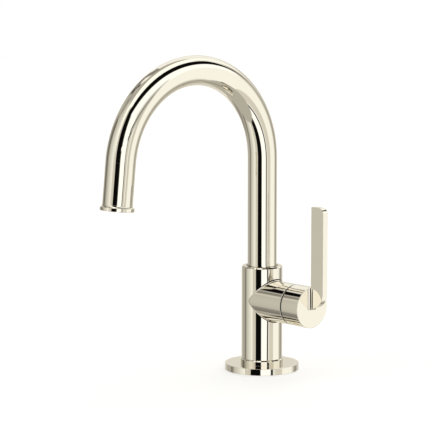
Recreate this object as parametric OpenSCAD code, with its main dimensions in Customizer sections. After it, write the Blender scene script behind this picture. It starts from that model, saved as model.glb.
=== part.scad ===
// Single-lever basin mixer with a swivelling gooseneck spout and a side valve.
// Millimetres. +Z is up, the deck is z = 0, and the column stands on the Z axis.
// The spout reaches towards -Y and the side valve with its lever towards +X.

/* [Base] */
// Outside diameter of the base flange
flange_d = 63.5; // [56:0.5:76]
// Thickness of the base flange
flange_h = 5.6; // [4.5:0.1:8]
// How far the flange's collar stands out past the column
collar_step = 0.8; // [0.4:0.1:2]
// Height of the collar above the flange
collar_h = 4.3; // [3:0.1:7]
// Width of the seal under the flange
base_seal_w = 7; // [4:0.5:8]
// Depth of the groove that holds the base seal
base_seal_h = 2; // [1:0.1:2.5]

/* [Column] */
// Outside diameter of the column
column_d = 35; // [34:0.5:38]
// Height of the column's top above the valve's axis
column_rise = 28.9; // [26.7:0.1:40]
// Width of the bevel round the column's top
column_bevel = 0.9; // [0.4:0.1:1.4]
// Width of the step where the column's foot enters the flange
spigot_step = 1.5; // [1:0.1:2]

/* [Side valve] */
// Height of the valve's axis above the deck
axis_h = 61.3; // [59:0.1:62]
// Outside diameter of the valve housing on the column
housing_d = 34.8; // [34:0.1:36]
// Distance of the seam between housing and handle from the column's axis
seam_x = 41.5; // [41:0.5:48]
// Width of the seam between housing and handle
seam_w = 1.3; // [0.8:0.1:2]
// Chamfer on the housing's end
housing_chamfer = 0.6; // [0.3:0.1:1]

/* [Cartridge] */
// Outside diameter of the ceramic cartridge
cartridge_d = 25.4; // [24:0.1:26]
// Clearance between the cartridge and its bore, all round
cartridge_gap = 0.2; // [0.1:0.05:0.3]
// Thickness of the rubber seal under the cartridge
port_seal_t = 1; // [0.8:0.1:1.5]
// Thickness of the cartridge's floor
cartridge_floor = 3; // [2:0.1:3.5]
// Wall of the cartridge's shell
cartridge_wall = 2; // [1.5:0.1:2.5]
// Thickness of each ceramic disc
disc_t = 3; // [2:0.1:3.5]
// Thickness of the carrier that turns the moving disc
carrier_t = 4.5; // [4:0.1:5]
// Thickness of the cartridge's bonnet
bonnet_t = 4; // [3.5:0.1:4.5]
// Thickness of the ring nut that holds the cartridge
nut_t = 5.5; // [4:0.1:6]
// Diameter of the spindle
spindle_d = 8; // [7:0.1:9]
// Distance of the two inlet ports from the valve's axis, with the outlet port on the axis
port_circle_r = 6.6; // [6:0.1:7]
// Angle of each inlet port from straight down
port_spread = 30; // [26:1:36]
// Diameter of each water port
port_d = 4; // [3.4:0.1:4.6]
// Angle through which the handle turns from closed, past cold and mixed, to hot
handle_turn = 100; // [90:1:110]

/* [Handle] */
// Outside diameter of the handle's cap
cap_d = 35; // [34:0.1:36]
// Distance from the seam to the cap's flat face
cap_l = 20; // [18:0.5:24]
// Thickness of the cap's wall
cap_wall = 2.5; // [2:0.1:3]
// Thickness of the cap's face
cap_face_t = 3.2; // [2.5:0.1:4]
// Rounding of the cap's front edge
cap_round = 0.4; // [0.2:0.1:1]
// Width of the lever, from its back to its front
lever_w = 14.1; // [11:0.1:17]
// Thickness of the lever
lever_t = 5.2; // [4:0.1:7]
// Length of the lever above the valve's axis
lever_l = 85.8; // [65:0.1:110]
// How far the lever's back stands in front of the cap's face
lever_standoff = 1.3; // [0.5:0.1:2]
// Radius of the lever's upper front corner
lever_corner_r = 5; // [2:0.1:8]
// Radius of the fillet between the lever's foot and the cap's face
foot_fillet_r = 3.5; // [2:0.1:4]
// Diameter of the grub screws
grub_d = 5; // [4:0.5:5]

/* [Spout] */
// Outside diameter of the spout tube
tube_d = 25; // [24:0.1:25.4]
// Wall of the spout tube
tube_wall = 1.3; // [1:0.1:2]
// Radius of the bend along the middle of the tube
bend_r = 78.5; // [60:0.5:100]
// Height of the bend's centre above the deck
bend_h = 183; // [150:1:230]
// Angle through which the tube bends
bend_angle = 174; // [150:1:180]
// Length of the straight tail below the bend
tail_l = 34.3; // [20:0.1:50]
// Angle that the spout swivels to each side
swivel = 60; // [30:5:75]
// Wall of the glide bush round the tube
bush_wall = 1.1; // [1:0.1:1.2]
// Running clearance of the spout's foot and tube, all round
running_gap = 0.08; // [0.04:0.01:0.1]
// Length of the glide bush in the column's mouth
bush_l = 5; // [4:0.1:8]
// Land between the stop screw's hole and each seal groove of the spout's foot
stop_land = 0.7; // [0.5:0.1:2]

/* [Outlet] */
// Outside diameter of the outlet collar
outlet_d = 28.5; // [27:0.1:32]
// Height of the straight band round the outlet collar
band_h = 2.9; // [2.4:0.1:5]
// Angle through which the hollow curve between the tube and that band turns
cove_turn = 77; // [60:1:85]
// Rounding of the outlet collar's lower edge
outlet_round = 0.5; // [0.2:0.1:1]
// Length of the collar's neck inside the tube
neck_l = 8; // [6:0.5:12]
// Wall of the collar's neck, at the core of the aerator's thread
neck_wall = 1; // [0.8:0.1:1.6]
// Depth of the aerator's face inside the collar
aerator_recess = 0.8; // [0.5:0.1:1.5]
// Number of rings of holes round the middle hole of the aerator's face
aerator_rings = 4; // [2:1:4]
// Distance between neighbouring holes in the aerator's face
aerator_pitch = 2; // [1.9:0.05:2.05]

/* [Fixing] */
// Core diameter of the two threaded inlets
inlet_d = 8.92; // [8:0.01:9.2]
// Depth of the threaded part of the inlets
inlet_l = 12; // [8:0.5:16]
// Distance from the column's middle plane to each inlet
inlet_y = 6.5; // [5.8:0.1:7]
// Diameter of the waterway above each inlet's thread
inlet_bore_d = 7; // [6:0.1:8]
// Distance of the inlets behind the column's axis
inlet_back = 3.5; // [3:0.1:4]
// Core diameter of the threaded hole for the fixing stud
stud_d = 6.8; // [5:0.1:7]
// Depth of the hole for the fixing stud
stud_l = 14; // [10:0.5:18]
// Distance of the fixing stud from the column's axis
stud_x = 9; // [8.5:0.1:9.5]

/* [Hidden] */
$fn = 96;

// Amount by which a cutter runs past the face that it opens
over = 1;
// Clearance of pieces that are pushed or screwed together and stay put
snug = 0.02;
// Running clearance of the handle's sliding faces
slide_gap = 0.05;
// Rounding of the base flange's edges
edge_round = 0.3;
// Rounding of the edges at the column's foot and at the seam of the handle
foot_round = 0.3;
// Height of a bevel for each millimetre of its width, on the column's top and the collar
bevel_rise = 1.15;
// Colours of the finishes
nickel = "#cfc8b4";
brass = "#c2a15a";
rubber = "#26262a";
white_plastic = "#e4e2da";
grey_plastic = "#4d4f55";
ceramic = "#f1ece0";
steel = "#a7a9ad";

column_r = column_d / 2;
column_top = axis_h + column_rise;
grub_r = grub_d / 2;
flange_r = flange_d / 2;
collar_r = column_r + collar_step;
collar_top = flange_h + collar_h;
spigot_r = column_r - spigot_step;
flange_bore_gap = 0.1;
flange_bore_r = spigot_r + flange_bore_gap;
base_seal_r = (spigot_r + flange_r) / 2;

tube_r = tube_d / 2;
tube_bore_r = tube_r - tube_wall;
socket_r = tube_r + bush_wall;
washer_t = 1;
washer_inset = 0.3;
bush_play = 0.2;
bush_sink = 0.3;
seal_margin = 2.2;
spout_seal_r = 0.85;
spout_groove_w = 2.2;

// The bush hangs in the column's mouth, the foot stands below it on the washer, and the foot is
// as long as its two seals and the stop screw between them need
bush_top = column_top - bush_sink;
bush_bottom = bush_top - bush_l;
foot_l = 2 * (seal_margin + spout_groove_w / 2 + stop_land + grub_r);
foot_top = bush_bottom - bush_play;
foot_bottom = foot_top - foot_l;
ledge_h = foot_bottom - slide_gap - washer_t;
lower_seal_z = foot_bottom + seal_margin;
upper_seal_z = foot_top - seal_margin;
stop_z = (lower_seal_z + upper_seal_z) / 2;
foot_r = socket_r - running_gap;
foot_bore_r = 8.5;
foot_spigot_l = 8;
chamber_r = 9.5;
spout_groove_r = foot_r - 2 * spout_seal_r;

// The stop screw: its dog point stays clear of the groove's floor, its shoulder of the socket,
// and its head stays under the column's surface
stop_groove_w = 2.8;
stop_groove_depth = 1.8;
stop_dog_r = 1.2;
stop_dog_gap = 0.3;
stop_shoulder_gap = 0.2;
stop_sink = 0.5;
stop_dog_y = foot_r - stop_groove_depth + stop_dog_gap;
stop_dog_l = socket_r + stop_shoulder_gap - stop_dog_y;
stop_screw_l = column_r - stop_sink - stop_dog_y;
// Half of the groove's angle beyond the swivel: half the dog point and a little play
stop_play_angle = 0.8;
stop_margin = asin(stop_dog_r / stop_dog_y) + stop_play_angle;

housing_r = housing_d / 2;
housing_end = seam_x - seam_w / 2;
// Wall between the spout's socket and the cartridge's seat
seat_wall = 1.4;
seat_x = socket_r + seat_wall;
cartridge_r = cartridge_d / 2;
cavity_r = cartridge_r + cartridge_gap;
floor_x = seat_x + port_seal_t;
fixed_x = floor_x + cartridge_floor;
moving_x = fixed_x + disc_t + slide_gap;
carrier_x = moving_x + disc_t;
bonnet_x = carrier_x + carrier_t + slide_gap;
nut_x = bonnet_x + bonnet_t;
nut_thread_depth = 0.6;
nut_r = cavity_r + nut_thread_depth;
nut_bore_r = 9;
nut_relief = 0.5;
disc_play = 0.1;
disc_r = cartridge_r - cartridge_wall - disc_play;
turning_disc_r = disc_r - disc_play;
spindle_r = spindle_d / 2;
port_r = port_d / 2;
port_seal_margin = 1;
port_half_angle = asin(port_r / port_circle_r);
inlet_port_z = axis_h - port_circle_r * cos(port_spread);
inlet_port_y = port_circle_r * sin(port_spread);
inlet_head = 1;
waterway_wall = 1.5;
chamber_bottom = inlet_port_z + port_r + waterway_wall;
// Mixing pocket of the moving disc: its width, and its leading edge when the valve is closed
pocket_angle = 60;
pocket_lap = 2;
pocket_lead = -port_spread - port_half_angle - pocket_lap;
pocket_depth = 1.5;
// The carrier's lug runs in a slot of the bonnet, between the two ends of the turn
lug_inset = 2.2;
lug_w = 2.8;
lug_in_r = spindle_r + lug_inset;
lug_out_r = lug_in_r + lug_w;
lug_half_angle = 12;
lug_h = 1.6;
lug_play = 0.2;
lug_play_angle = 1;
spindle_seat = 1.5;
spindle_hole_gap = 0.3;
spindle_seal_r = 0.5;
spindle_groove_w = 1.2;
spindle_groove_depth = 0.8;
nut_slot_w = 2.5;
nut_slot_depth = 1.5;
nut_slot_wall = 1;

ring_inset = 1.2;
ring_r = housing_r - ring_inset;
ring_wall = 1.2;
ring_depth = 2;
ring_play = 0.2;
cap_r = cap_d / 2;
cap_back = seam_x + seam_w / 2;
cap_face = seam_x + cap_l;
cap_floor = cap_face - cap_face_t;
cap_cavity_r = cap_r - cap_wall;
boss_wall = 3.6;
boss_inset = 1;
boss_r = spindle_r + boss_wall;
boss_back = cap_back + boss_inset;
spindle_inset = 3;
spindle_end_gap = 0.5;
spindle_end = cap_floor - spindle_inset;
spindle_bore_end = spindle_end + spindle_end_gap;
spindle_flat = 0.8;
spindle_flat_margin = 3.5;
grub_x = (boss_back + cap_floor) / 2;
grub_l = boss_r - spindle_r + spindle_flat;
grub_tip_r = grub_r * 0.6;
grub_tip_l = 0.8;
key_r = grub_r * 0.55;
key_depth = 1.8;
lever_back = cap_face + lever_standoff;
lever_front = lever_back + lever_w;
lever_top = axis_h + lever_l;
lever_half = lever_t / 2;
// The foot is a quarter-round of the lever's own width, and the fillet under it touches that
// round: centres of both, and the point where they touch, in the lever's middle plane
foot_centre = [lever_back, axis_h + lever_w];
fillet_reach = lever_w + foot_fillet_r;
fillet_drop = sqrt(pow(fillet_reach, 2) - pow(foot_fillet_r - lever_standoff, 2));
fillet_centre = [cap_face + foot_fillet_r, foot_centre[1] - fillet_drop];
fillet_touch = foot_centre + (fillet_centre - foot_centre) * lever_w / fillet_reach;
foot_corner_z = fillet_centre[1] + foot_fillet_r;

// The straight tail is a hair slimmer than the bend, so that the two meet in a clean edge
tail_slip = 0.04;
tail_r = tube_r - tail_slip;
outlet_r = outlet_d / 2;
cove_r = (outlet_r - tail_r) / (1 - cos(cove_turn));
outlet_h = band_h + cove_r * sin(cove_turn);
tail_drop = tail_l + outlet_h;
neck_r = tube_bore_r - tail_slip - snug;
neck_top = tail_l - neck_l;
thread_r = neck_r - neck_wall;
lip_w = 1.6;
lip_r = thread_r - lip_w;
lip_t = 1.5;
seal_t = 1.2;
aerator_gap = 0.04;
aerator_r = thread_r - aerator_gap;
aerator_wall = 1.1;
aerator_top = neck_top + lip_t + seal_t;
aerator_bottom = tail_drop - aerator_recess;
insert_r = aerator_r - aerator_wall - snug;
key_notch_r = 0.9;
key_notch_depth = 1;
insert_step = 0.3;
sieve_slack = 0.1;
sieve_rim = 0.3;
face_t = 1.6;
hole_r = 0.75;
regulator_t = 2;
regulator_hole_r = 1.2;
regulator_pitch = 4.5;

// Places its children with local Z along the valve's axis, pointing to +X.
// Local X points down, and local Y stays Y.
module on_valve_axis(x) {
  translate([x, 0, axis_h]) rotate([0, 90, 0]) children();
}

// Places its children at a distance below the bend's end, with local Z up along the tail
module on_tail(drop) {
  translate([0, -bend_r, bend_h])
    rotate([bend_angle - 180, 0, 0])
      translate([0, -bend_r, -drop])
        children();
}

// Ring with a square section
module ring(r_out, r_in, h) {
  difference() {
    cylinder(r = r_out, h = h);
    translate([0, 0, -over]) cylinder(r = r_in, h = h + 2 * over);
  }
}

// Half section of a turned disc whose outer edges are rounded
module turned_section(r, h, top = 0, bottom = 0) {
  translate([0, bottom]) square([r, h - top - bottom]);
  square([r - bottom, h / 2]);
  translate([0, h / 2]) square([r - top, h / 2]);
  if (bottom > 0) translate([r - bottom, bottom]) circle(bottom);
  if (top > 0) translate([r - top, h - top]) circle(top);
}

// Turned disc whose outer edges are rounded
module turned(r, h, top = 0, bottom = 0) {
  rotate_extrude() turned_section(r, h, top, bottom);
}

// Turned piece with a bevel of the given width round its top
module bevelled(r, h, width, bottom = 0) {
  straight = h - width * bevel_rise;
  turned(r, straight, 0, bottom);
  translate([0, 0, straight]) cylinder(r1 = r, r2 = r - width, h = width * bevel_rise);
}

// Socket-headed grub screw that points along +Z, with its tip at z = 0
module grub_screw(l, tip_r, tip_l) {
  difference() {
    union() {
      cylinder(r = tip_r, h = l / 2);
      translate([0, 0, tip_l]) cylinder(r = grub_r - snug, h = l - tip_l);
    }
    translate([0, 0, l - key_depth]) cylinder(r = key_r, h = key_depth + over, $fn = 6);
  }
}

// The outlet port and the two inlet ports, as cutters along local Z
module ports(h) {
  translate([0, 0, -over]) cylinder(r = port_r, h = h + 2 * over);
  for (a = [-port_spread, port_spread])
    rotate([0, 0, a])
      translate([port_circle_r, 0, -over])
        cylinder(r = port_r, h = h + 2 * over);
}

// Round plate with a middle hole and rings of holes round it, laid out as a honeycomb
module sieve(r, h, rings, pitch, bore) {
  difference() {
    cylinder(r = r, h = h);
    for (i = [-rings : rings], j = [-rings : rings]) {
      x = (i + j / 2) * pitch;
      y = j * pitch * sin(60);
      if (norm([x, y]) < min(rings * pitch + sieve_slack, r - bore - sieve_rim))
        translate([x, y, -over]) cylinder(r = bore, h = h + 2 * over, $fn = 24);
    }
  }
}

module base_flange() {
  color(nickel)
  difference() {
    union() {
      turned(flange_r, flange_h, edge_round, edge_round);
      bevelled(collar_r, collar_top, collar_step);
    }
    translate([0, 0, -over]) cylinder(r = flange_bore_r, h = collar_top + 2 * over);
    translate([0, 0, -over])
      ring(base_seal_r + base_seal_w / 2, base_seal_r - base_seal_w / 2, base_seal_h + over);
  }
}

module base_seal() {
  color(rubber)
  ring(base_seal_r + base_seal_w / 2 - snug, base_seal_r - base_seal_w / 2 + snug, base_seal_h);
}

// Sockets, waterways and threaded holes of the column
module column_inside() {
  translate([0, 0, ledge_h]) cylinder(r = socket_r, h = column_top);
  translate([0, 0, chamber_bottom]) cylinder(r = chamber_r, h = ledge_h);
  on_valve_axis(seat_x) cylinder(r = cavity_r, h = column_r);
  on_valve_axis(0) cylinder(r = port_r, h = seat_x + over);
  translate([stud_x, 0, -over]) cylinder(r = stud_d / 2, h = stud_l + over);
  for (side = [-1, 1]) {
    translate([-inlet_back, side * inlet_port_y, inlet_port_z])
      rotate([0, 90, 0])
        cylinder(r = port_r, h = inlet_back + seat_x + over);
    translate([-inlet_back, side * inlet_y, -over]) cylinder(r = inlet_d / 2, h = inlet_l + over);
    translate([-inlet_back, side * inlet_y, 0])
      cylinder(r = inlet_bore_d / 2, h = inlet_port_z + inlet_head);
  }
  translate([0, 0, stop_z]) rotate([-90, 0, 0]) cylinder(r = grub_r, h = column_r + over);
}

// Column on its spigot, open at the top for the spout and at the side for the cartridge
module column() {
  color(nickel)
  difference() {
    union() {
      cylinder(r = spigot_r, h = column_top / 2);
      translate([0, 0, collar_top])
        bevelled(column_r, column_top - collar_top, column_bevel, foot_round);
    }
    column_inside();
  }
}

// Housing of the cartridge, cut to a saddle that is soldered to the column's side
module valve_housing() {
  color(nickel)
  difference() {
    on_valve_axis(0)
      rotate_extrude()
        difference() {
          square([housing_r, housing_end]);
          translate([housing_r, housing_end]) rotate(45)
            square(housing_chamfer * sqrt(2), center = true);
        }
    cylinder(r = column_r + snug, h = column_top + housing_r);
    on_valve_axis(0) cylinder(r = cavity_r, h = housing_end + over);
    on_valve_axis(nut_x - nut_relief) cylinder(r = nut_r, h = housing_end);
    on_valve_axis(housing_end - ring_depth) cylinder(r = ring_r, h = housing_end);
  }
}

module swivel_bush() {
  color(rubber)
  translate([0, 0, bush_bottom])
    ring(socket_r - snug, tube_r + running_gap, bush_top - bush_bottom);
}

module thrust_washer() {
  color(white_plastic)
  translate([0, 0, ledge_h]) ring(socket_r - snug, chamber_r + washer_inset, washer_t);
}

module swivel_stop_screw() {
  color(steel)
  translate([0, stop_dog_y, stop_z])
    rotate([-90, 0, 0])
      grub_screw(stop_screw_l, stop_dog_r, stop_dog_l);
}

module port_seal() {
  color(rubber)
  on_valve_axis(seat_x)
    difference() {
      cylinder(r = cartridge_r - port_seal_margin, h = port_seal_t);
      ports(port_seal_t);
    }
}

module cartridge_shell() {
  color(white_plastic)
  on_valve_axis(floor_x)
    difference() {
      cylinder(r = cartridge_r, h = bonnet_x - floor_x);
      ports(cartridge_floor);
      translate([0, 0, cartridge_floor])
        cylinder(r = cartridge_r - cartridge_wall, h = bonnet_x - floor_x);
    }
}

module fixed_ceramic_disc() {
  color(ceramic)
  on_valve_axis(fixed_x)
    difference() {
      cylinder(r = disc_r, h = disc_t);
      ports(disc_t);
    }
}

// The moving disc's pocket joins the outlet on the axis to the inlet ports that it passes over
module moving_ceramic_disc() {
  color(ceramic)
  on_valve_axis(moving_x)
    difference() {
      cylinder(r = turning_disc_r, h = disc_t);
      translate([0, 0, -over]) {
        cylinder(r = port_r, h = over + pocket_depth);
        rotate([0, 0, pocket_lead - pocket_angle])
          rotate_extrude(angle = pocket_angle)
            square([port_circle_r + port_r, over + pocket_depth]);
      }
    }
}

// Sector of a ring round local Z, from one angle to another
module sector(r_in, r_out, h, from, to) {
  rotate([0, 0, from])
    rotate_extrude(angle = to - from)
      translate([r_in, 0])
        square([r_out - r_in, h]);
}

module disc_carrier() {
  color(grey_plastic)
  on_valve_axis(carrier_x)
    difference() {
      union() {
        cylinder(r = turning_disc_r, h = carrier_t);
        sector(lug_in_r, lug_out_r, carrier_t + slide_gap + lug_h,
          180 - lug_half_angle, 180 + lug_half_angle);
      }
      translate([0, 0, spindle_seat]) cylinder(r = spindle_r, h = carrier_t);
    }
}

module spindle() {
  start = carrier_x + spindle_seat;
  seal_x = bonnet_x + bonnet_t / 2;
  color(brass)
  on_valve_axis(start)
    difference() {
      cylinder(r = spindle_r - snug, h = spindle_end - start);
      translate([0, 0, seal_x - spindle_groove_w / 2 - start])
        ring(spindle_r + over, spindle_r - spindle_groove_depth, spindle_groove_w);
      translate([spindle_r - spindle_flat, -spindle_r, grub_x - spindle_flat_margin - start])
        cube([spindle_d, spindle_d, spindle_end]);
    }
}

module spindle_seal() {
  color(rubber)
  on_valve_axis(bonnet_x + bonnet_t / 2)
    rotate_extrude()
      translate([spindle_r + spindle_hole_gap - slide_gap - spindle_seal_r, 0])
        circle(spindle_seal_r);
}

// The bonnet's slot lets the carrier's lug travel from closed to full hot
module cartridge_bonnet() {
  color(white_plastic)
  on_valve_axis(bonnet_x)
    difference() {
      cylinder(r = cartridge_r, h = bonnet_t);
      translate([0, 0, -over]) cylinder(r = spindle_r + spindle_hole_gap, h = bonnet_t + 2 * over);
      translate([0, 0, -over])
        sector(lug_in_r - lug_play, lug_out_r + lug_play, over + lug_h + lug_play,
          180 - lug_half_angle - lug_play_angle,
          180 + lug_half_angle + lug_play_angle + handle_turn);
    }
}

module cartridge_ring_nut() {
  color(brass)
  on_valve_axis(nut_x)
    difference() {
      cylinder(r = nut_r - snug, h = nut_t);
      translate([0, 0, -over]) cylinder(r = nut_bore_r, h = nut_t + 2 * over);
      for (a = [0 : 60 : 300])
        rotate([0, 0, a])
          translate([nut_bore_r - over, -nut_slot_w / 2, nut_t - nut_slot_depth])
            cube([nut_r - nut_bore_r - nut_slot_wall, nut_slot_w, nut_slot_depth + over]);
    }
}

module handle_slide_ring() {
  color(rubber)
  on_valve_axis(housing_end - ring_depth)
    ring(ring_r - snug, ring_r - ring_wall, 2 * ring_depth + seam_w - ring_play);
}

// Side view of the lever: round upper front corner, quarter-round foot
module lever_outline() {
  blade_l = lever_top - foot_centre[1];
  translate(foot_centre) square([lever_w, blade_l - lever_corner_r]);
  translate(foot_centre) square([lever_w - lever_corner_r, blade_l]);
  translate([lever_front - lever_corner_r, lever_top - lever_corner_r]) circle(lever_corner_r);
  intersection() {
    translate(foot_centre) circle(lever_w);
    translate([lever_back, axis_h]) square([lever_w, lever_w]);
  }
}

// Section of a concave fillet in the corner of the two axes
module fillet_section() {
  difference() {
    square(foot_fillet_r);
    translate([foot_fillet_r, foot_fillet_r]) circle(foot_fillet_r);
  }
}

// Fillet on the foot's -Y side, and its quarter turn round the foot's lower corner
module side_fillet() {
  translate([cap_face, -lever_half, foot_corner_z]) {
    mirror([0, 1, 0]) linear_extrude(cap_r) fillet_section();
    rotate([0, 90, 0]) rotate([0, 0, -90]) rotate_extrude(angle = 90) fillet_section();
  }
}

// Section of the fillet under the foot, which runs into the foot's quarter-round
module lower_fillet_section() {
  difference() {
    polygon([
      [cap_face - over, fillet_centre[1]], fillet_centre, fillet_touch,
      [lever_back + over, axis_h + 2 * over], [cap_face - over, axis_h + 2 * over],
    ]);
    translate(fillet_centre) circle(foot_fillet_r);
  }
}

// Foot that joins the lever to the cap's face, cut to the cap's outline
module lever_foot() {
  intersection() {
    on_valve_axis(cap_face - over) cylinder(r = cap_r, h = over + foot_fillet_r);
    union() {
      translate([cap_face - over, -lever_half, foot_corner_z])
        cube([lever_standoff + 2 * over, lever_t, cap_r]);
      side_fillet();
      mirror([0, 1, 0]) side_fillet();
      translate([0, lever_half, 0]) rotate([90, 0, 0]) linear_extrude(lever_t) lower_fillet_section();
    }
  }
}

module handle() {
  color(nickel)
  difference() {
    union() {
      on_valve_axis(cap_back) turned(cap_r, cap_face - cap_back, cap_round, foot_round);
      translate([0, lever_half, 0]) rotate([90, 0, 0]) linear_extrude(lever_t) lever_outline();
      lever_foot();
    }
    handle_inside();
  }
}

// Hollow of the cap round its boss, bore for the spindle, and the grub screw's two holes
module handle_inside() {
  on_valve_axis(cap_back - over)
    difference() {
      cylinder(r = cap_cavity_r, h = over + cap_floor - cap_back);
      translate([0, 0, over + boss_back - cap_back]) cylinder(r = boss_r, h = cap_l);
    }
  on_valve_axis(cap_back - over) cylinder(r = ring_r + slide_gap, h = over + ring_depth);
  on_valve_axis(boss_back - over) cylinder(r = spindle_r, h = over + spindle_bore_end - boss_back);
  translate([grub_x, 0, axis_h]) rotate([180, 0, 0]) cylinder(r = grub_r, h = cap_r + over);
}

module handle_grub_screw() {
  color(steel)
  translate([grub_x, 0, axis_h - spindle_r + spindle_flat])
    rotate([180, 0, 0])
      grub_screw(grub_l, grub_tip_r, grub_tip_l);
}

module spout_tube() {
  color(nickel)
  difference() {
    spout_solid(tube_r, 0);
    spout_solid(tube_bore_r, over);
  }
}

// Rod that follows the spout: riser, bend, and a tail that enters the bend's end
module spout_solid(r, extra) {
  translate([0, 0, foot_top - extra]) cylinder(r = r, h = bend_h - foot_top + extra);
  translate([0, -bend_r, bend_h])
    rotate([90, 0, 90])
      rotate_extrude(angle = bend_angle)
        translate([bend_r, 0])
          circle(r);
  on_tail(tail_l + extra) cylinder(r = r - tail_slip, h = tail_l + extra + over);
}

module spout_foot() {
  color(brass)
  difference() {
    union() {
      translate([0, 0, foot_bottom]) cylinder(r = foot_r, h = foot_top - foot_bottom);
      translate([0, 0, foot_top - over]) cylinder(r = tube_bore_r - snug, h = foot_spigot_l + over);
    }
    translate([0, 0, foot_bottom - over])
      cylinder(r = foot_bore_r, h = foot_top + foot_spigot_l - foot_bottom + 2 * over);
    for (z = [lower_seal_z, upper_seal_z])
      translate([0, 0, z - spout_groove_w / 2]) ring(foot_r + over, spout_groove_r, spout_groove_w);
    translate([0, 0, stop_z - stop_groove_w / 2])
      rotate([0, 0, 90 - swivel - stop_margin])
        rotate_extrude(angle = 2 * (swivel + stop_margin))
          translate([foot_r - stop_groove_depth, 0])
            square([stop_groove_depth + over, stop_groove_w]);
  }
}

module spout_seals() {
  color(rubber)
  for (z = [lower_seal_z, upper_seal_z])
    translate([0, 0, z])
      rotate_extrude()
        translate([socket_r - spout_seal_r - snug, 0])
          circle(spout_seal_r);
}

module collar_section() {
  difference() {
    turned_section(outlet_r, outlet_h, 0, outlet_round);
    translate([tail_r + cove_r, outlet_h]) circle(cove_r);
  }
}

module outlet_collar() {
  color(nickel)
  on_tail(tail_drop)
    difference() {
      union() {
        rotate_extrude() collar_section();
        translate([0, 0, outlet_h - over]) cylinder(r = neck_r, h = neck_l + over);
      }
      translate([0, 0, -over]) cylinder(r = lip_r, h = outlet_h + neck_l + 2 * over);
      translate([0, 0, -over]) cylinder(r = thread_r, h = outlet_h + neck_l - lip_t + over);
    }
}

module aerator_seal() {
  color(rubber)
  on_tail(aerator_top) ring(thread_r - snug, lip_r, seal_t);
}

module aerator_shell() {
  color(white_plastic)
  on_tail(aerator_bottom)
    difference() {
      ring(aerator_r, aerator_r - aerator_wall, aerator_bottom - aerator_top);
      for (a = [0 : 90 : 270])
        rotate([0, 0, a])
          translate([aerator_r - aerator_wall / 2, 0, -over])
            cylinder(r = key_notch_r, h = over + key_notch_depth);
    }
}

module flow_regulator() {
  color(white_plastic)
  on_tail(aerator_top + insert_step + regulator_t)
    sieve(insert_r, regulator_t, 1, regulator_pitch, regulator_hole_r);
}

module aerator_face() {
  color(grey_plastic)
  on_tail(aerator_bottom - insert_step)
    sieve(insert_r, face_t, aerator_rings, aerator_pitch, hole_r);
}

base_flange();
base_seal();
column();
valve_housing();
swivel_bush();
thrust_washer();
swivel_stop_screw();
port_seal();
cartridge_shell();
fixed_ceramic_disc();
cartridge_bonnet();
cartridge_ring_nut();
handle_slide_ring();
handle();
spindle();
disc_carrier();
moving_ceramic_disc();
spindle_seal();
handle_grub_screw();
spout_tube();
spout_foot();
spout_seals();
outlet_collar();
aerator_seal();
aerator_shell();
flow_regulator();
aerator_face();
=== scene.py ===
# %% [markdown]
# A tall single-lever basin mixer in polished nickel. Its shape comes from the CAD model, which is
# loaded first and stays as it is. This script gives each piece the finish that the real one has,
# adds the small things that are made by hand, such as the solder line round the side valve, and
# builds the studio that a mirror finish needs, because a mirror shows nothing but its room.

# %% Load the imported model
import math

import bmesh
import bpy
from mathutils import Matrix, Vector


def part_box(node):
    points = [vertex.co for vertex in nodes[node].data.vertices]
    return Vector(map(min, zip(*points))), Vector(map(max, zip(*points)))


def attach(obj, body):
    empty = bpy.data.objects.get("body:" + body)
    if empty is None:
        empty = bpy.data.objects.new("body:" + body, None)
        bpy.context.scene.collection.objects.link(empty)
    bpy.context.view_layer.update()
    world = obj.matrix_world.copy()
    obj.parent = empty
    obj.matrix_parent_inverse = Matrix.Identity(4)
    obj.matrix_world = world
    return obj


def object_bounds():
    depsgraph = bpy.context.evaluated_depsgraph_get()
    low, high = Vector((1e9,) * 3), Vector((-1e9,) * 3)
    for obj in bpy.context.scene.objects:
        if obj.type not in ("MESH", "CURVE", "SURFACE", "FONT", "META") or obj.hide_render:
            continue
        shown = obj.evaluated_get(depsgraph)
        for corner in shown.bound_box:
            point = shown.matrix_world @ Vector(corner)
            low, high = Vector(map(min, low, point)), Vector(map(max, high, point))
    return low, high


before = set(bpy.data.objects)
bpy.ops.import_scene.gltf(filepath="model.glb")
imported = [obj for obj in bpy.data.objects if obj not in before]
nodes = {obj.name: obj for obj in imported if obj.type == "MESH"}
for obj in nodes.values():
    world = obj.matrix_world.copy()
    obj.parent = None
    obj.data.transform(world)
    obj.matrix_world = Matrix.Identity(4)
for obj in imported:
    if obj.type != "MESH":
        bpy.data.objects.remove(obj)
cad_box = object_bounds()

scene = bpy.context.scene
MM = 0.001
print("CAD nodes:", len(nodes), "box from", cad_box[0], "to", cad_box[1])

# %% [markdown]
# The mixer was photographed from its front right, a little above, from so far away that its
# upright lines stay upright. A long lens far off gives that calm product view. A camera can be
# aimed by a constraint that tracks a target. Here it is placed by what a photographer would note
# down: its direction from the column, its distance and height, and its pitch and yaw.

# %% Camera
CAMERA_AZIMUTH = math.radians(46.93)  # from the basin side (-Y) towards the lever (+X)
CAMERA_DISTANCE = 2.0017
CAMERA_HEIGHT = 0.4175
CAMERA_PITCH = math.radians(8.075)
CAMERA_YAW = math.radians(-1.154)
IMAGE_PX = 430
FOCAL_PX = 2364.8
SENSOR_MM = 36.0

towards_camera = Vector((math.sin(CAMERA_AZIMUTH), -math.cos(CAMERA_AZIMUTH), 0))
level_ahead = Matrix.Rotation(-CAMERA_YAW, 3, "Z") @ -towards_camera
ahead = level_ahead * math.cos(CAMERA_PITCH) - Vector((0, 0, math.sin(CAMERA_PITCH)))
camera_right = ahead.cross(Vector((0, 0, 1))).normalized()
camera_up = camera_right.cross(ahead)

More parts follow.
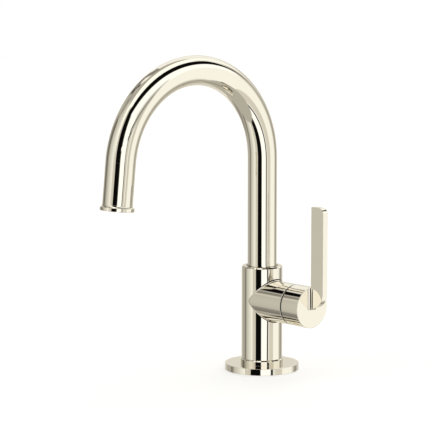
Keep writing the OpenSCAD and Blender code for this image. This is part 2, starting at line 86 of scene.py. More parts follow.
camera = bpy.data.objects.new("camera", bpy.data.cameras.new("camera"))
scene.collection.objects.link(camera)
scene.camera = camera
camera.matrix_world = Matrix((camera_right, camera_up, -ahead)).transposed().to_4x4()
camera.location = towards_camera * CAMERA_DISTANCE + Vector((0, 0, CAMERA_HEIGHT))
camera.data.sensor_width = SENSOR_MM
camera.data.lens = SENSOR_MM * FOCAL_PX / IMAGE_PX
print("Camera at", tuple(round(v, 4) for v in camera.location), "lens", round(camera.data.lens, 1))

# %% [markdown]
# Three helpers serve every finish. One turns a hex colour, as a painter would pick it on screen,
# into the linear colour that Blender mixes with. One adds a shader node, sets it up and links
# what goes into it, so that a material reads as a short list. One starts an empty material.

# %% Helpers for finishes
def linear(hex_colour):
    """Linear RGBA of an sRGB hex colour. The numbers are the sRGB curve's own."""
    channels = [int(hex_colour[i : i + 2], 16) / 255 for i in (1, 3, 5)]
    return (*(c / 12.92 if c <= 0.04045 else ((c + 0.055) / 1.055) ** 2.4 for c in channels), 1)


def add(tree, kind, inputs=None, **settings):
    """Adds a node. An input is a plain value, or the socket that feeds it."""
    node = tree.nodes.new(kind)
    for name, value in settings.items():
        setattr(node, name, value)
    for name, value in (inputs or {}).items():
        if isinstance(value, bpy.types.NodeSocket):
            tree.links.new(value, node.inputs[name])
        else:
            node.inputs[name].default_value = value
    return node


def new_finish(name):
    """An empty material, its node tree and its output node."""
    material = bpy.data.materials.new(name)
    material.use_nodes = True
    material.node_tree.nodes.clear()
    return material, material.node_tree, add(material.node_tree, "ShaderNodeOutputMaterial")


print("Mid grey on screen, #808080, is", round(linear("#808080")[0], 3), "in linear light")

# %% [markdown]
# Polished nickel is brass, plated and then buffed until it is a mirror. It is warmer than chrome:
# it keeps red and yellow and loses some blue. What gives it away as metal and not glass is a faint
# waviness left by the buffing wheel, a haze that varies over a few centimetres, and edges that
# are never quite sharp. The edges could be rounded in the mesh. The Bevel node does it in the
# reflection alone, by a hair, and leaves the CAD shape as it is. The same function plates every
# nickel piece, and can leave the inside of a piece bare, because plating doesn't reach far into a
# bore: there the turned brass shows.

# %% Polished nickel
NICKEL = "#EBE6D9"
BARE_BRASS = "#B8944E"
BUFFED_EDGE = 0.2 * MM
EDGE_SAMPLES = 6
BUFFING_WAVE = 24 * MM
WAVE_DEPTH = 0.02 * MM
WAVE_STRENGTH = 0.02
HAZE_SPREAD = 30 * MM
HAZE_FROM, HAZE_TO = 0.35, 0.7  # the part of the noise that turns clear metal hazy
CLEAR, HAZY, TURNED = 0.008, 0.022, 0.28  # roughness of polished, hazy and bare turned metal


def polished_nickel(name, bare_radius=0.0, bare_top=0.0):
    """Nickel finish, and bare brass within bare_radius of the column's axis below bare_top."""
    material, tree, output = new_finish(name)
    place = add(tree, "ShaderNodeTexCoord").outputs["Object"]
    haze = add(tree, "ShaderNodeTexNoise", {
        "Vector": place, "Scale": 1 / HAZE_SPREAD, "Detail": 3.0})
    roughness = add(tree, "ShaderNodeMapRange", {
        "Value": haze.outputs["Fac"], "From Min": HAZE_FROM, "From Max": HAZE_TO,
        "To Min": CLEAR, "To Max": HAZY}).outputs["Result"]
    wave = add(tree, "ShaderNodeTexNoise", {
        "Vector": place, "Scale": 1 / BUFFING_WAVE, "Detail": 0.0})
    edge = add(tree, "ShaderNodeBevel", {"Radius": BUFFED_EDGE}, samples=EDGE_SAMPLES)
    waviness = add(tree, "ShaderNodeBump", {
        "Height": wave.outputs["Fac"], "Strength": WAVE_STRENGTH, "Distance": WAVE_DEPTH,
        "Normal": edge.outputs["Normal"]})
    shader = add(tree, "ShaderNodeBsdfPrincipled", {
        "Base Color": linear(NICKEL), "Metallic": 1.0, "Roughness": roughness,
        "Normal": waviness.outputs["Normal"]})
    tree.links.new(shader.outputs["BSDF"], output.inputs["Surface"])
    if bare_radius:
        across = add(tree, "ShaderNodeVectorMath", {0: place, 1: (1, 1, 0)}, operation="MULTIPLY")
        radius = add(tree, "ShaderNodeVectorMath", {
            0: across.outputs["Vector"]}, operation="LENGTH").outputs["Value"]
        height = add(tree, "ShaderNodeSeparateXYZ", {0: place}).outputs["Z"]
        inside = add(tree, "ShaderNodeMath", {0: radius, 1: bare_radius}, operation="LESS_THAN")
        under = add(tree, "ShaderNodeMath", {0: height, 1: bare_top}, operation="LESS_THAN")
        bare = add(tree, "ShaderNodeMath", {
            0: inside.outputs[0], 1: under.outputs[0]}, operation="MULTIPLY").outputs[0]
        colour = add(tree, "ShaderNodeMix", {
            "Factor": bare, "A": linear(NICKEL), "B": linear(BARE_BRASS)}, data_type="RGBA")
        dull = add(tree, "ShaderNodeMix", {"Factor": bare, "A": roughness, "B": TURNED})
        tree.links.new(colour.outputs["Result"], shader.inputs["Base Color"])
        tree.links.new(dull.outputs["Result"], shader.inputs["Roughness"])
    return material


# The plating covers the column's outside and reaches a little way into its mouth.
PLATED_WALL = 0.5 * MM
PLATED_RIM = 1 * MM
column_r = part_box("column")[1][0]
column_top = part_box("column")[1][2]
nickel = polished_nickel("polished_nickel")
column_nickel = polished_nickel(
    "polished_nickel_bare_inside", column_r - PLATED_WALL, column_top - PLATED_RIM)
print("Nickel:", NICKEL, "with bare brass", BARE_BRASS, "inside the column")

# %% [markdown]
# The hidden fittings are plain turned brass: the ring nut, the spindle and the spout's foot. A
# lathe leaves a fine groove for each turn of the work, so the light on it smears across the
# grooves. The grooves run round the piece's own axis, which is upright for the foot and level for
# the pieces of the valve. As mesh they would take millions of faces, so a wave texture draws them
# as bump. Real ones are 0.1 mm apart. These are 0.4 mm apart, because finer ones would vanish in
# the picture.

# %% Turned brass and turned steel
TOOL_PITCH = 0.4 * MM
TOOL_DEPTH = 0.02 * MM
TOOL_STRENGTH = 0.3
TARNISH_SPREAD = 6 * MM


def turned_metal(name, axis, hex_light, hex_dark, smooth, rough):
    """Metal straight from the lathe, with tool marks round one axis and a slight tarnish."""
    material, tree, output = new_finish(name)
    place = add(tree, "ShaderNodeTexCoord").outputs["Object"]
    tarnish = add(tree, "ShaderNodeTexNoise", {
        "Vector": place, "Scale": 1 / TARNISH_SPREAD, "Detail": 4.0}).outputs["Fac"]
    colour = add(tree, "ShaderNodeMix", {
        "Factor": tarnish, "A": linear(hex_light), "B": linear(hex_dark)}, data_type="RGBA")
    # A wave texture repeats 20 times in each 2 pi of its scaled length.
    grooves = add(tree, "ShaderNodeTexWave", {
        "Vector": place, "Scale": math.tau / 20 / TOOL_PITCH, "Distortion": 0.3, "Detail": 1.0},
        bands_direction=axis).outputs["Fac"]
    roughness = add(tree, "ShaderNodeMapRange", {
        "Value": grooves, "To Min": smooth, "To Max": rough}).outputs["Result"]
    relief = add(tree, "ShaderNodeBump", {
        "Height": grooves, "Strength": TOOL_STRENGTH, "Distance": TOOL_DEPTH})
    shader = add(tree, "ShaderNodeBsdfPrincipled", {
        "Base Color": colour.outputs["Result"], "Metallic": 1.0, "Roughness": roughness,
        "Normal": relief.outputs["Normal"]})
    tree.links.new(shader.outputs["BSDF"], output.inputs["Surface"])
    return material


upright_brass = turned_metal("turned_brass_upright", "Z", "#C9A961", "#A98443", 0.18, 0.34)
level_brass = turned_metal("turned_brass_level", "X", "#C9A961", "#A98443", 0.18, 0.34)
stainless = turned_metal("stainless_steel", "X", "#B4B6B9", "#96989C", 0.16, 0.3)
print("Turned metals with tool marks", TOOL_PITCH / MM, "mm apart")

# %% [markdown]
# The washers, bush and cartridge are moulded or turned acetal, a slippery plastic with a dull,
# slightly waxy surface. The mould is spark eroded, which leaves a fine even grain of about
# 0.1 mm, drawn here at 0.3 mm so that it shows. The seals are EPDM rubber: blacker, more matt,
# and clouded by a grey bloom where wax has come to the surface. An image of a grain would have
# to be unwrapped onto each piece, and noise needs no unwrapping. One function serves both,
# because both are a dull body with a grain and a cloudy second colour.

# %% Acetal and rubber
PLASTIC_IOR = 1.48
CLOUD_FROM, CLOUD_TO = 0.35, 0.75  # the part of the noise that turns one colour to the other
GRAIN_STRENGTH = 0.4


def dull_body(name, hex_main, hex_cloud, cloud, grain, depth, smooth, rough):
    """Plastic or rubber with a cloudy second colour and a fine moulded grain."""
    material, tree, output = new_finish(name)
    place = add(tree, "ShaderNodeTexCoord").outputs["Object"]
    clouds = add(tree, "ShaderNodeTexNoise", {
        "Vector": place, "Scale": 1 / cloud, "Detail": 3.0}).outputs["Fac"]
    spread = add(tree, "ShaderNodeMapRange", {
        "Value": clouds, "From Min": CLOUD_FROM, "From Max": CLOUD_TO}).outputs["Result"]
    colour = add(tree, "ShaderNodeMix", {
        "Factor": spread, "A": linear(hex_main), "B": linear(hex_cloud)}, data_type="RGBA")
    roughness = add(tree, "ShaderNodeMapRange", {
        "Value": spread, "To Min": smooth, "To Max": rough}).outputs["Result"]
    grains = add(tree, "ShaderNodeTexNoise", {
        "Vector": place, "Scale": 1 / grain, "Detail": 2.0}).outputs["Fac"]
    relief = add(tree, "ShaderNodeBump", {
        "Height": grains, "Strength": GRAIN_STRENGTH, "Distance": depth})
    shader = add(tree, "ShaderNodeBsdfPrincipled", {
        "Base Color": colour.outputs["Result"], "Roughness": roughness,
        "Normal": relief.outputs["Normal"], "IOR": PLASTIC_IOR})
    tree.links.new(shader.outputs["BSDF"], output.inputs["Surface"])
    return material


black_acetal = dull_body(
    "black_acetal", "#141416", "#1F1F22",
    cloud=8 * MM, grain=0.3 * MM, depth=0.02 * MM, smooth=0.3, rough=0.42)
white_acetal = dull_body(
    "white_acetal", "#ECE9E1", "#DEDAD0",
    cloud=8 * MM, grain=0.3 * MM, depth=0.02 * MM, smooth=0.32, rough=0.45)
grey_acetal = dull_body(
    "grey_acetal", "#4A4C52", "#585A60",
    cloud=6 * MM, grain=0.3 * MM, depth=0.03 * MM, smooth=0.38, rough=0.5)
rubber = dull_body(
    "epdm_rubber", "#171717", "#2B2B2A",
    cloud=5 * MM, grain=0.2 * MM, depth=0.02 * MM, smooth=0.55, rough=0.8)
print("Dull bodies:", [m.name for m in (black_acetal, white_acetal, grey_acetal, rubber)])

# %% [markdown]
# The two valve discs are alumina, a hard ceramic, ground and then lapped flat until they seal
# against each other without a washer. Lapping gives a satin sheen, and the grain of the ceramic
# stays as faint ivory specks. Noise would blur them into clouds, so a cell texture draws one cell
# for each grain. The real grain is far finer than a pixel, and is drawn here at 0.5 mm.

# %% Lapped alumina
CERAMIC_GRAIN = 0.5 * MM
ALUMINA_IOR = 1.76
alumina, tree, output = new_finish("lapped_alumina")
place = add(tree, "ShaderNodeTexCoord").outputs["Object"]
cells = add(tree, "ShaderNodeTexVoronoi", {"Vector": place, "Scale": 1 / CERAMIC_GRAIN})
speck = add(tree, "ShaderNodeSeparateXYZ", {0: cells.outputs["Color"]}).outputs["X"]
colour = add(tree, "ShaderNodeMix", {
    "Factor": speck, "A": linear("#F5F1E6"), "B": linear("#E9E2D2")}, data_type="RGBA")
satin = add(tree, "ShaderNodeMapRange", {"Value": speck, "To Min": 0.14, "To Max": 0.26})
shader = add(tree, "ShaderNodeBsdfPrincipled", {
    "Base Color": colour.outputs["Result"], "Roughness": satin.outputs["Result"],
    "IOR": ALUMINA_IOR})
tree.links.new(shader.outputs["BSDF"], output.inputs["Surface"])
print("Alumina grain:", CERAMIC_GRAIN / MM, "mm")

# %% [markdown]
# Every CAD piece now gets its finish. The outside is nickel. Inside, the maker chose each
# material for its work: brass where it is threaded, acetal where it slides, rubber where it
# seals, ceramic where water is shut off. A table of finish and pieces keeps that choice in one
# place, and a print shows whether any piece was forgotten.

# %% Give each CAD piece its finish
FINISHES = {
    nickel: ("base_flange", "valve_housing", "handle", "spout_tube", "outlet_collar"),
    column_nickel: ("column",),
    upright_brass: ("spout_foot",),
    level_brass: ("cartridge_ring_nut", "spindle"),
    stainless: ("swivel_stop_screw", "handle_grub_screw"),
    rubber: ("base_seal", "port_seal", "spindle_seal", "spout_seals", "aerator_seal"),
    black_acetal: ("swivel_bush", "handle_slide_ring"),
    white_acetal: (
        "thrust_washer", "cartridge_shell", "cartridge_bonnet", "aerator_shell",
        "flow_regulator"),
    grey_acetal: ("disc_carrier", "aerator_face"),
    alumina: ("fixed_ceramic_disc", "moving_ceramic_disc"),
}
for finish, names in FINISHES.items():
    for name in names:
        mesh = nodes[name].data
        mesh.materials.clear()
        mesh.materials.append(finish)
finished = {name for names in FINISHES.values() for name in names}
forgotten = sorted(set(nodes) - finished)
print("Pieces with a finish:", len(finished), "of", len(nodes), "forgotten:", forgotten)

# %% [markdown]
# Along the joint, solder is drawn as a dark grey metal with a dull, clouded surface: painted shade
# and a painted dark reflection of the studio, which show as a fine dark line beside the polished
# one. A mask could mix both on one piece. Two pieces with a finish each keep the border between
# them sharp.

# %% Solder line painted dark as shade and reflection
# A dark metal that is painted shade and painted reflection along the joint, with a random mottle.
SHADE_MOTTLE_SPREAD = 2 * MM
solder_painted_shade, tree, output = new_finish("solder_painted_shade")
place = add(tree, "ShaderNodeTexCoord").outputs["Object"]
shade_mottle = add(tree, "ShaderNodeTexNoise", {
    "Vector": place, "Scale": 1 / SHADE_MOTTLE_SPREAD, "Detail": 3.0}).outputs["Fac"]
colour = add(tree, "ShaderNodeMix", {
    "Factor": shade_mottle, "A": linear("#35322C"), "B": linear("#4A463E")}, data_type="RGBA")
dull = add(tree, "ShaderNodeMapRange", {"Value": shade_mottle, "To Min": 0.35, "To Max": 0.55})
shader = add(tree, "ShaderNodeBsdfPrincipled", {
    "Base Color": colour.outputs["Result"], "Metallic": 1.0,
    "Roughness": dull.outputs["Result"]})
tree.links.new(shader.outputs["BSDF"], output.inputs["Surface"])
print("Finish:", solder_painted_shade.name)

# %% [markdown]
# The small pieces below are all made the same way: a section is repeated round the valve's axis
# and the sections are joined by faces into one closed ring. A curve with a bevel could sweep a
# section too, but not one that changes on the way. Smooth shading hides the facets in the mirror
# finish, and corners sharper than 40 degrees stay crisp.

# %% Helper for rings round the valve's axis
CRISP_CORNER = math.radians(40)
RING_STEPS = 240
housing_low, housing_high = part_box("valve_housing")
housing_end = housing_high[0]
housing_r = (housing_high[2] - housing_low[2]) / 2
housing_z = (housing_high[2] + housing_low[2]) / 2
cap_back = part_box("handle")[0][0]


def ring_piece(name, section_at, finish):
    """A closed ring. section_at gives the section's points for an angle from the top."""
    built = bmesh.new()
    rings = []
    for step in range(RING_STEPS):
        section = section_at(math.tau * step / RING_STEPS)
        rings.append([built.verts.new(point) for point in section])
    for ring, next_ring in zip(rings, rings[1:] + rings[:1]):
        for i in range(len(ring)):
            j = (i + 1) % len(ring)
            built.faces.new((ring[i], next_ring[i], next_ring[j], ring[j]))
    bmesh.ops.recalc_face_normals(built, faces=built.faces)
    data = bpy.data.meshes.new(name)
    built.to_mesh(data)
    built.free()
    data.shade_smooth()
    data.set_sharp_from_angle(angle=CRISP_CORNER)
    data.materials.append(finish)
    piece = bpy.data.objects.new(name, data)
    scene.collection.objects.link(piece)
    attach(piece, "mixer")
    print(name + ":", len(data.polygons), "faces")


print("Housing ends at", round(housing_end / MM, 2), "mm,",
      "cap begins at", round(cap_back / MM, 2), "mm")

# %% [markdown]
# The housing is soldered to the column's side, and the solder fills the corner with a thin
# hollow fillet. A Bevel modifier could round the corner if both were one mesh, but they are two
# CAD pieces that stay as they are, so the fillet is a piece of its own. A ball of the fillet's
# radius that rolls along the corner touches both cylinders, so its centre lies one radius outside
# each of them. At each step round the housing the fillet is the arc between the two touching
# points. Above and below the housing the part next to the column is painted dark as painted shade
# and reflection, and the rest is polished with the housing, which draws a dark line and a light
# line along the joint. At the sides the painted dark part shrinks to nothing.

# %% Solder fillet between column and housing
SOLDER_R = 1.5 * MM
# Share of the fillet's arc, next to the column, that is painted dark as shade and reflection.
PAINTED_SHADE_SHARE = 0.42
ROOT_INSET = 0.15 * MM
ARC_STEPS = 6


def solder_section(painted_shade):
    """Section of the fillet's part painted dark as shade and reflection when painted_shade is
    true, else its polished part, closed inside the corner.
    """
    def section_at(turn_angle):
        # The painted shade is widest above and below the housing and gone at the sides.
        border = PAINTED_SHADE_SHARE * math.cos(turn_angle) ** 2
        first, last = (0, border) if painted_shade else (border, 1)
        sideways, upwards = math.sin(turn_angle), math.cos(turn_angle)
        side, up = (housing_r + SOLDER_R) * sideways, (housing_r + SOLDER_R) * upwards
        ball = Vector((math.sqrt((column_r + SOLDER_R) ** 2 - side**2), side, housing_z + up))
        to_column = Vector((-ball.x, -ball.y, 0)).normalized()
        to_housing = Vector((0, -side, -up)).normalized()
        shares = [first + (last - first) * i / ARC_STEPS for i in range(ARC_STEPS + 1)]
        arc = [ball + to_column.slerp(to_housing, share) * SOLDER_R for share in shares]
        root_side = (housing_r - ROOT_INSET) * sideways
        root_up = (housing_r - ROOT_INSET) * upwards
        root_out = math.sqrt((column_r - ROOT_INSET) ** 2 - root_side**2)
        return arc + [Vector((root_out, root_side, housing_z + root_up))]
    return section_at


ring_piece("solder_fillet", solder_section(False), nickel)
# The dark line along the joint is painted shade and painted reflection.
ring_piece("solder_painted_shade_line", solder_section(True), solder_painted_shade)

# %% [markdown]
# At the seam the buffing wheel has rounded the housing's end, so the edge catches the light all
# round. In the gap behind the cap shows the black lip of the slide ring, widened into the seam as
# painted shade that stands in for the shadow in the gap. Seen from the side the eye looks deep
# into the gap and the lip draws a dark crescent, and at the top and the bottom the cap hides it.
# Both are turned. A Screw modifier could spin a profile round too. With the helper above, a list
# of distances and radii is all that each needs.

# %% Rounded end of the housing and lip of the slide ring, set dark in the seam as painted shade
BUFFED_END_R = 0.6 * MM
BUFFED_ROOT = 0.6 * BUFFED_END_R
LIP_DEPTH = 0.17 * MM
LIP_HEIGHT = 1.05 * MM
LIP_GAP = 0.1 * MM
LIP_ROOT = 0.1 * MM
LIP_BEVEL = 0.1 * MM


def turned_section(profile):
    """Section of a turned ring from its profile of (distance along the axis, radius)."""
    def section_at(turn_angle):
        sideways, upwards = math.sin(turn_angle), math.cos(turn_angle)
        return [Vector((along, radius * sideways, housing_z + radius * upwards))
                for along, radius in profile]
    return section_at


quarter_turn = [math.pi / 2 * i / ARC_STEPS for i in range(ARC_STEPS + 1)]
buffed_profile = [
    (housing_end - BUFFED_END_R * (1 - math.sin(a)), housing_r - BUFFED_END_R * (1 - math.cos(a)))
    for a in quarter_turn]
buffed_profile.append((housing_end - BUFFED_ROOT, housing_r - BUFFED_ROOT))
ring_piece("housing_rounded_end", turned_section(buffed_profile), nickel)

# The black lip is widened into the seam as painted shade, standing in for the shadow in the gap.
lip_back, lip_front = housing_end - LIP_ROOT, cap_back - LIP_GAP
lip_r = housing_r - LIP_DEPTH
lip_profile = [
    (lip_back, lip_r), (lip_front - LIP_BEVEL, lip_r), (lip_front, lip_r - LIP_BEVEL),
    (lip_front, lip_r - LIP_HEIGHT), (lip_back, lip_r - LIP_HEIGHT)]
ring_piece("slide_ring_lip_and_seam_shade", turned_section(lip_profile), black_acetal)

# %% [markdown]
# A mirror finish is lit by what it reflects. Lamps alone would leave it black with a few bright
# spots, so a product studio surrounds the piece with walls, light boxes and black flags. The room
# could be built of meshes. Drawn on the world it is free of noise, and each strip is one row of
# numbers. Azimuth is the angle round the mixer, from the basin side (-Y) towards the lever (+X),
# and elevation the angle above level. A level bar on a wall isn't at one elevation, because the
# wall's far parts look lower. Height over distance, the slope, stays the same all along it.

# %% World and its directions
world = bpy.data.worlds.new("studio")
scene.world = world
world.use_nodes = True
tree = world.node_tree
tree.nodes.clear()
direction = add(tree, "ShaderNodeTexCoord").outputs["Generated"]
x, y, z = add(tree, "ShaderNodeSeparateXYZ", {0: direction}).outputs
minus_x = add(tree, "ShaderNodeMath", {0: x, 1: -1.0}, operation="MULTIPLY").outputs[0]
minus_y = add(tree, "ShaderNodeMath", {0: y, 1: -1.0}, operation="MULTIPLY").outputs[0]
angle = add(tree, "ShaderNodeMath", {0: x, 1: minus_y}, operation="ARCTAN2").outputs[0]
azimuth = add(tree, "ShaderNodeMath", {0: angle}, operation="DEGREES").outputs[0]
rise = add(tree, "ShaderNodeMath", {0: z}, operation="ARCSINE").outputs[0]
elevation = add(tree, "ShaderNodeMath", {0: rise}, operation="DEGREES").outputs[0]
slope = add(tree, "ShaderNodeMath", {0: z, 1: x}, operation="DIVIDE").outputs[0]
left_slope = add(tree, "ShaderNodeMath", {0: slope, 1: -1.0}, operation="MULTIPLY").outputs[0]
print("World:", world.name, "with", len(tree.nodes), "nodes for its directions")

# %% [markdown]
# The walls are upright strips: pale walls on the left, a black flag that draws the dark line down
# the tube, one large light box on the lever's side, a window and a bright wall behind it. Each
# could be a mask of its own. One colour ramp over the azimuth holds them all, with a stop at each
# end of a strip, and where two strips nearly meet, the edge between them is sharp. Pale paint is
# a little warm, which together with the metal gives nickel its tone.

# %% Studio walls
WHITE_PAINT = "#FFFFFA"
GREY_PAINT = "#FFFBF0"
NEUTRAL = "#FFFFFF"
DOORWAY = 0.35
FULL_TURN = 360
WALLS = (
    # name, then at each end: azimuth, brightness, paint
    ("far wall", -170, 0.63, GREY_PAINT, -112, 0.91, GREY_PAINT),
    ("far corner", -112, 0.64, GREY_PAINT, -90, 0.60, GREY_PAINT),
    ("side wall", -90, 0.48, GREY_PAINT, -66, 0.47, GREY_PAINT),
    ("gap beside the side wall", -65, 0.21, GREY_PAINT, -53.5, 0.32, GREY_PAINT),
    ("graded wall", -51, 0.575, GREY_PAINT, -8, 1.10, WHITE_PAINT),
    ("shaded wall", -6, 0.73, GREY_PAINT, 11.5, 0.73, GREY_PAINT),
    ("black flag", 12.5, 0.004, NEUTRAL, 43.2, 0.004, NEUTRAL),
    ("light box", 44, 1.3, NEUTRAL, 74.4, 1.3, NEUTRAL),
    ("gap beside the light box", 75, 0.05, NEUTRAL, 82.3, 0.05, NEUTRAL),
    ("window frame", 83, 0.95, WHITE_PAINT, 88.5, 0.95, WHITE_PAINT),
    ("grey wall", 89.5, 0.78, GREY_PAINT, 113, 0.78, GREY_PAINT),
    ("bright wall", 114.5, 1.13, WHITE_PAINT, 152, 1.13, WHITE_PAINT),
    ("dim corner", 161, 0.77, GREY_PAINT, 167, 0.58, GREY_PAINT),
    ("far doorway", 172, DOORWAY, GREY_PAINT, 180, DOORWAY, GREY_PAINT),
)


def painted(brightness, paint):
    """Linear colour of a wall: its paint under light of this brightness."""
    return (*(channel * brightness for channel in linear(paint)[:3]), 1)


turn = add(tree, "ShaderNodeMapRange", {
    "Value": azimuth, "From Min": -180.0, "From Max": 180.0}).outputs["Result"]
walls = add(tree, "ShaderNodeValToRGB", {"Fac": turn})
stops = walls.color_ramp.elements
stops[0].position, stops[1].position = 0.0, 1.0
for stop in stops:
    stop.color = painted(DOORWAY, GREY_PAINT)
for name, *ends in WALLS:
    for azimuth_deg, brightness, paint in (ends[:3], ends[3:]):
        if azimuth_deg < 180:  # the ramp's own last stop stands at 180
            stop = stops.new(azimuth_deg / FULL_TURN + 0.5)
            stop.color = painted(brightness, paint)
print("Studio walls:", len(WALLS), "strips,", len(stops), "stops")

# %% [markdown]
# Everything that isn't a full-height strip is a panel: a range of azimuth times a range of height,
# with soft edges, laid over the walls. Later panels lie over earlier ones. The real room is near,
# so the spout, which reaches out from the column, sees its strips a few degrees further round. A
# world has no near and far, so the first panels stand in for this at heights that only the spout
# reflects. The ceiling has white, grey and black panels, which draw the long streaks on the bend
# and on the housing. Its dark corner leans: it rises as it comes forward.

# %% Ceiling, floor and bars
SIDE_SOFTNESS = 0.8  # degrees
CORNER_RISE = 1.5  # height that the dark corner gains for each step forward
leaning = add(tree, "ShaderNodeMath", {
    0: minus_y, 1: -CORNER_RISE, 2: z}, operation="MULTIPLY_ADD").outputs[0]
corner_slope = add(tree, "ShaderNodeMath", {0: leaning, 1: minus_x}, operation="DIVIDE").outputs[0]
PANELS = (
    # name, azimuth from and to, (height measure, from, to, softness), brightness, paint
    # From -181 to 181 is the whole turn with its soft ends, and 91 is past the zenith.
    ("side wall by the spout", -95, -80, (elevation, -5.5, 14, 0.8), 0.37, GREY_PAINT),
    ("side wall's dark edge by the spout", -80, -64, (elevation, -5.5, 24, 0.8), 0.18, GREY_PAINT),
    ("graded wall's start by the spout", -63.5, -51, (elevation, -5.5, 24, 0.8), 0.43, GREY_PAINT),
    ("black flag's end by the tail", 43, 47.6, (elevation, -5.5, 10.4, 0.8), 0.004, NEUTRAL),
    ("black flag's end by the bend", 43, 47.6, (elevation, 13.4, 40, 0.8), 0.004, NEUTRAL),
    ("light box's end by the tail", 74, 79, (elevation, -5.5, 10.4, 0.8), 1.3, NEUTRAL),
    ("light box's end by the bend", 74, 78.6, (elevation, 13.2, 17, 0.4), 1.3, NEUTRAL),
    ("gap by the spout", 79, 83.9, (elevation, -5.5, 16.5, 0.8), 0.05, NEUTRAL),
    ("grey wall by the tail", 83.9, 118, (elevation, -6.2, 10.4, 0.8), 0.72, GREY_PAINT),
    ("bright strip by the tail", 95, 102.5, (elevation, -5.5, 10.4, 0.8), 1.0, WHITE_PAINT),
    ("light box above the wall", 75, 158, (elevation, 16.5, 91, 1.5), 1.3, NEUTRAL),
    ("strip above the window", 84, 118, (elevation, 15, 23, 1.5), 0.80, WHITE_PAINT),
    ("window's top bar", 79, 116, (elevation, 12.9, 15.7, 0.35), 0.006, NEUTRAL),
    ("window's lower bar", 79, 116, (elevation, 9.3, 10.5, 0.3), 0.006, NEUTRAL),
    ("window's top corner", 79, 87, (elevation, 9.5, 17.2, 0.4), 0.006, NEUTRAL),
    ("wall above the doorway", 150, 181, (elevation, 30, 91, 6), 1.05, WHITE_PAINT),
    ("wall above the far wall", -181, -112, (elevation, 19, 91, 6), 1.05, WHITE_PAINT),
    ("white ceiling", -181, 181, (elevation, 53, 91, 2), 1.3, WHITE_PAINT),
    ("grey ceiling panel", -165, -15, (elevation, 53, 91, 2), 0.48, GREY_PAINT),
    ("white ceiling's middle", -181, 0, (left_slope, 4.0, 1e6, 0.4), 1.3, WHITE_PAINT),
    ("black ceiling panel", 12.5, 168, (slope, 1.25, 4.3, 0.08), 0.004, NEUTRAL),
    ("dark bar on the side", -98, -64, (left_slope, 0.85, 0.98, 0.012), 0.003, NEUTRAL),
    ("lit edge of the side wall", -63, -60, (elevation, 29, 60, 2), 0.55, GREY_PAINT),
    ("lit edge of the graded wall", -53.4, -49.5, (elevation, 19, 50, 3), 0.70, GREY_PAINT),
    ("shaded far wall", -113, -99, (elevation, 14, 60, 3), 0.27, GREY_PAINT),
    ("lit corner of the ceiling", -98, -85, (elevation, 45, 61, 2), 1.05, WHITE_PAINT),
    ("dark corner of the ceiling", -97, -80, (corner_slope, 0.62, 1.06, 0.03), 0.02, NEUTRAL),
    ("lit strip beside the dark bar", -91, -80.5, (elevation, 44, 46.2, 0.4), 0.95, WHITE_PAINT),
    ("low part of the side wall", -101, -79, (elevation, -54, -20, 3), 0.33, GREY_PAINT),
    ("floor", -181, 181, (elevation, -91, -52, 2), 0.53, GREY_PAINT),
)


def band(value, low, high, soft):
    """1 where value lies between low and high, and 0 outside, with soft edges."""
    above = add(tree, "ShaderNodeMapRange", {
        "Value": value, "From Min": low - soft, "From Max": low + soft},
        interpolation_type="SMOOTHSTEP").outputs["Result"]
    below = add(tree, "ShaderNodeMapRange", {
        "Value": value, "From Min": high + soft, "From Max": high - soft},
        interpolation_type="SMOOTHSTEP").outputs["Result"]
    return add(tree, "ShaderNodeMath", {0: above, 1: below}, operation="MULTIPLY").outputs[0]


room = walls.outputs["Color"]
for name, start, end, (measure, low, high, soft), brightness, paint in PANELS:
    across, upright = band(azimuth, start, end, SIDE_SOFTNESS), band(measure, low, high, soft)
    mask = add(tree, "ShaderNodeMath", {0: across, 1: upright}, operation="MULTIPLY").outputs[0]
    room = add(tree, "ShaderNodeMix", {
        "Factor": mask, "A": room, "B": painted(brightness, paint)},
        data_type="RGBA").outputs["Result"]
print("Studio panels:", len(PANELS))

# %% [markdown]
# The picture's background is plain white, and the metal still has to show the room. A white
# backdrop would show in the metal too. Light Path tells the two apart: a ray that comes straight
# from the camera sees white, and every other ray sees the studio.

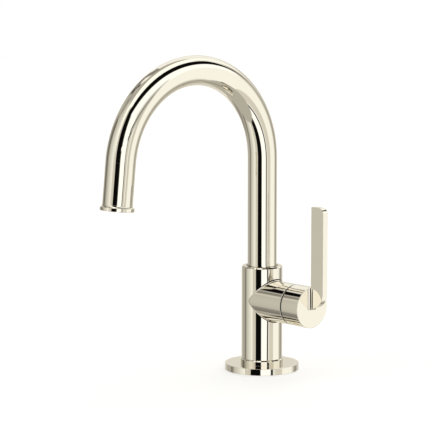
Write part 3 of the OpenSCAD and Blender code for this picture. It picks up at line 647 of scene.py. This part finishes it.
# %% White for the camera
seen = add(tree, "ShaderNodeLightPath").outputs["Is Camera Ray"]
white = add(tree, "ShaderNodeMix", {
    "Factor": seen, "A": room, "B": (1.0, 1.0, 1.0, 1)}, data_type="RGBA").outputs["Result"]
background = add(tree, "ShaderNodeBackground", {"Color": white, "Strength": 1.0})
add(tree, "ShaderNodeOutputWorld", {"Surface": background.outputs[0]})
print("World nodes:", len(tree.nodes))

# %% [markdown]
# The mixer stands on a plain white floor that runs out of view. A white surface under this light
# would look grey beside the white background, so for the camera alone a little glow is added, and
# the floor still takes a faint soft shadow. It isn't shown in the metal, where its reflection
# would hide the studio's own floor.

# %% Floor
FLOOR_HALF = 3.0
FLOOR_GAP = 0.1 * MM
FLOOR_WHITE = (0.8, 0.8, 0.8, 1)
FLOOR_GLOW = 0.46
floor_mesh = bpy.data.meshes.new("floor")
floor_mesh.from_pydata(
    [(-FLOOR_HALF, -FLOOR_HALF, 0), (FLOOR_HALF, -FLOOR_HALF, 0),
     (FLOOR_HALF, FLOOR_HALF, 0), (-FLOOR_HALF, FLOOR_HALF, 0)], [], [(0, 1, 2, 3)])
floor = bpy.data.objects.new("floor", floor_mesh)
scene.collection.objects.link(floor)
floor.location.z = cad_box[0][2] - FLOOR_GAP
floor.visible_glossy = False
white_floor, tree, output = new_finish("white_floor")
matt = add(tree, "ShaderNodeBsdfDiffuse", {"Color": FLOOR_WHITE}).outputs[0]
glow = add(tree, "ShaderNodeEmission", {"Color": (1, 1, 1, 1), "Strength": FLOOR_GLOW})
lit = add(tree, "ShaderNodeAddShader", {0: matt, 1: glow.outputs[0]}).outputs[0]
seen = add(tree, "ShaderNodeLightPath").outputs["Is Camera Ray"]
surface = add(tree, "ShaderNodeMixShader", {0: seen, 1: matt, 2: lit})
tree.links.new(surface.outputs[0], output.inputs["Surface"])
floor_mesh.materials.append(white_floor)
print("Floor", FLOOR_GAP / MM, "mm under the flange")

# %% [markdown]
# A product picture needs plain colour handling. Blender's default view softens bright colours,
# and the Standard view shows each as it was written. The last cell sets that.

# %% Finish
scene.view_settings.view_transform = "Standard"
